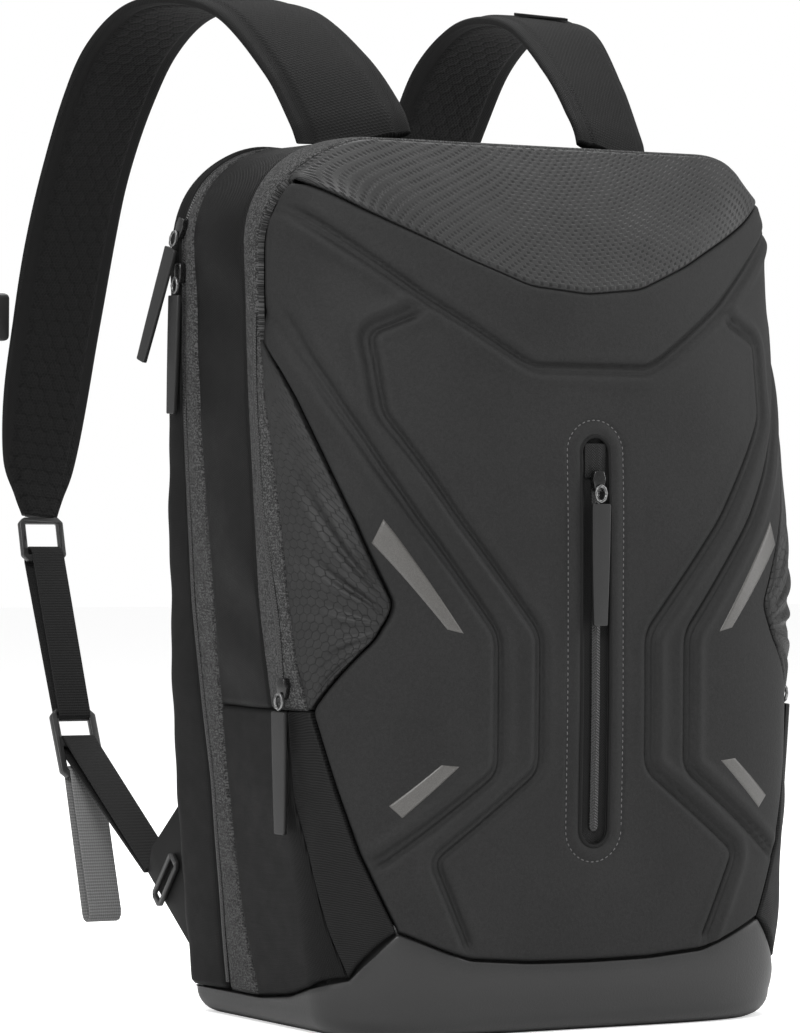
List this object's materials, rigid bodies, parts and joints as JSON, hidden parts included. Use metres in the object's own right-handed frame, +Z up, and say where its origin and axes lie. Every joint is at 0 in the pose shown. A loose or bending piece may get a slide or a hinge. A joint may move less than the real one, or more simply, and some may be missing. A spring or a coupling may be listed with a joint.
{
  "type": "motorcycle backpack",
  "caption": "Upright backpack with a moulded front shell, zipped side gusset, smooth base and padded curved shoulder straps with webbing adjusters.",
  "frame": {"origin": "on the flat underside of the base, below the middle of the body", "axes": "+Z up; the moulded front faces -Y and the wearer's side +Y; +X to the right seen from the front"},
  "size_m": [0.3333, 0.4376, 0.5632],
  "materials": {
    "shell_foam": "matte",
    "top_fabric": "satin",
    "base_leatherette": "satin",
    "side_nylon": "matte",
    "band_fabric": "matte",
    "ripstop": "satin",
    "back_mesh": "matte",
    "strap_mesh": "matte",
    "webbing": "matte",
    "grey_webbing": "matte",
    "reflective_film": "satin",
    "zip_coil": "satin",
    "slider_metal": "gloss",
    "bail_wire": "polished",
    "pull_rubber": "satin",
    "hardware_plastic": "satin"
  },
  "bodies": {
    "root": {"anchor_webbing_left": "webbing", "anchor_webbing_right": "webbing", "back_band": "band_fabric", "back_panel": "back_mesh", "base_panel": "base_leatherette", "corner_panel_left": "side_nylon", "corner_panel_right": "side_nylon", "front_band": "band_fabric", "front_shell": "shell_foam", "front_zip_bail": "bail_wire", "front_zip_coil": "zip_coil", "front_zip_garage": "webbing", "front_zip_pull": "pull_rubber", "front_zip_slider": "slider_metal", "front_zip_tape": "webbing", "ladder_lock_left": "hardware_plastic", "ladder_lock_right": "hardware_plastic", "lower_side_left": "side_nylon", "lower_side_right": "side_nylon", "main_zip_1_bail": "bail_wire", "main_zip_1_pull": "pull_rubber", "main_zip_1_slider": "slider_metal", "main_zip_2_bail": "bail_wire", "main_zip_2_pull": "pull_rubber", "main_zip_2_slider": "slider_metal", "main_zip_band": "band_fabric", "pocket_panel_left": "ripstop", "pocket_panel_right": "ripstop", "pocket_zip_left_bail": "bail_wire", "pocket_zip_left_pull": "pull_rubber", "pocket_zip_left_slider": "slider_metal", "pocket_zip_right_bail": "bail_wire", "pocket_zip_right_pull": "pull_rubber", "pocket_zip_right_slider": "slider_metal", "pull_loop_left": "grey_webbing", "pull_loop_right": "grey_webbing", "reflective_lower_left": "reflective_film", "reflective_lower_right": "reflective_film", "reflective_upper_left": "reflective_film", "reflective_upper_right": "reflective_film", "shoulder_strap_left": "strap_mesh", "shoulder_strap_right": "strap_mesh", "side_gusset": "side_nylon", "sternum_clip_left": "hardware_plastic", "sternum_clip_right": "hardware_plastic", "strap_bar_left": "webbing", "strap_bar_right": "webbing", "strap_ring_left": "hardware_plastic", "strap_ring_right": "hardware_plastic", "strap_webbing_left": "webbing", "strap_webbing_right": "webbing", "top_panel": "top_fabric", "wing_left": "side_nylon", "wing_right": "side_nylon", "wing_ring_left": "hardware_plastic", "wing_ring_right": "hardware_plastic"}
  },
  "joints": []
}
